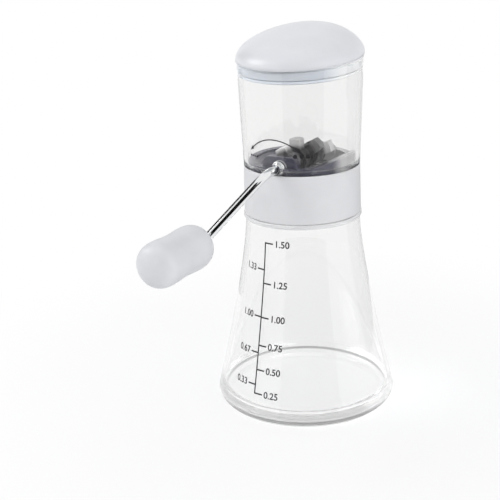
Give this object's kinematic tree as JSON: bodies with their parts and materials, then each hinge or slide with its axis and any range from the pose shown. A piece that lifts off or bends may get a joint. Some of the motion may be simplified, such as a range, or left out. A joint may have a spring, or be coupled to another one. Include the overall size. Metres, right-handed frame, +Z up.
{
  "type": "nut chopper",
  "caption": "Hand-cranked nut chopper: flared clear jar with a screw-on head, clear hopper, star-wheel rotor between two combs, bent chrome crank with a spinning grip, slanted lift-off lid.",
  "frame": {"origin": "centre of the flat foot of the jar", "axes": "+Z up the jar's axis, the crank's shaft comes out along -Y, +X to the right seen from the crank side"},
  "size_m": [0.094, 0.1528, 0.1966],
  "materials": {
    "clear_plastic": "clear, polished",
    "pale_plastic": "satin pale grey",
    "lid_plastic": "satin pale grey",
    "liner_plastic": "satin bluish grey",
    "grip_plastic": "soft matt pale grey",
    "dark_plastic": "satin charcoal",
    "bush_plastic": "plain",
    "chrome": "polished",
    "steel": "stamped",
    "rotor_metal": "as cast, satin",
    "seal_rubber": "plain"
  },
  "bodies": {
    "jar": {"jar": "clear_plastic"},
    "seal": {"jar_seal": "seal_rubber"},
    "head": {"collar": "pale_plastic", "hopper": "clear_plastic", "tray": "dark_plastic", "coarse_comb": "steel", "fine_comb": "steel", "comb_screws": "steel", "front_bush": "bush_plastic", "rear_bush": "bush_plastic"},
    "crank": {"crank_rod": "chrome", "stop_ring": "chrome", "rear_clip": "steel", "star_wheel_1": "rotor_metal", "star_wheel_2": "rotor_metal", "star_wheel_3": "rotor_metal", "star_wheel_4": "rotor_metal", "grip_clip": "steel"},
    "grip": {"grip": "grip_plastic", "grip_bush": "bush_plastic"},
    "lid": {"lid_dome": "lid_plastic", "lid_liner": "liner_plastic", "lid_seal": "seal_rubber"}
  },
  "joints": [
    {"name": "head_lift", "type": "slide", "parent": "jar", "child": "seal", "axis": [0, 0, 1], "range_m": [0, 0.012]},
    {"name": "head_turn", "type": "hinge", "parent": "seal", "child": "head", "pos_m": [0, 0, 0.109], "axis": [0, 0, 1], "range_deg": [0, 360]},
    {"name": "crank_turn", "type": "hinge", "parent": "head", "child": "crank", "pos_m": [0, 0, 0.1303], "axis": [0, -1, 0], "continuous": true},
    {"name": "grip_spin", "type": "hinge", "parent": "crank", "child": "grip", "pos_m": [-0.02189, -0.08, 0.10072], "axis": [0, -1, 0], "continuous": true},
    {"name": "lid_lift", "type": "slide", "parent": "head", "child": "lid", "axis": [0, 0, 1], "range_m": [0, 0.04]}
  ],
  "couplings": [
    {"joint": "head_lift", "follows": "head_turn", "m_per_rad": 0.0019098}
  ]
}
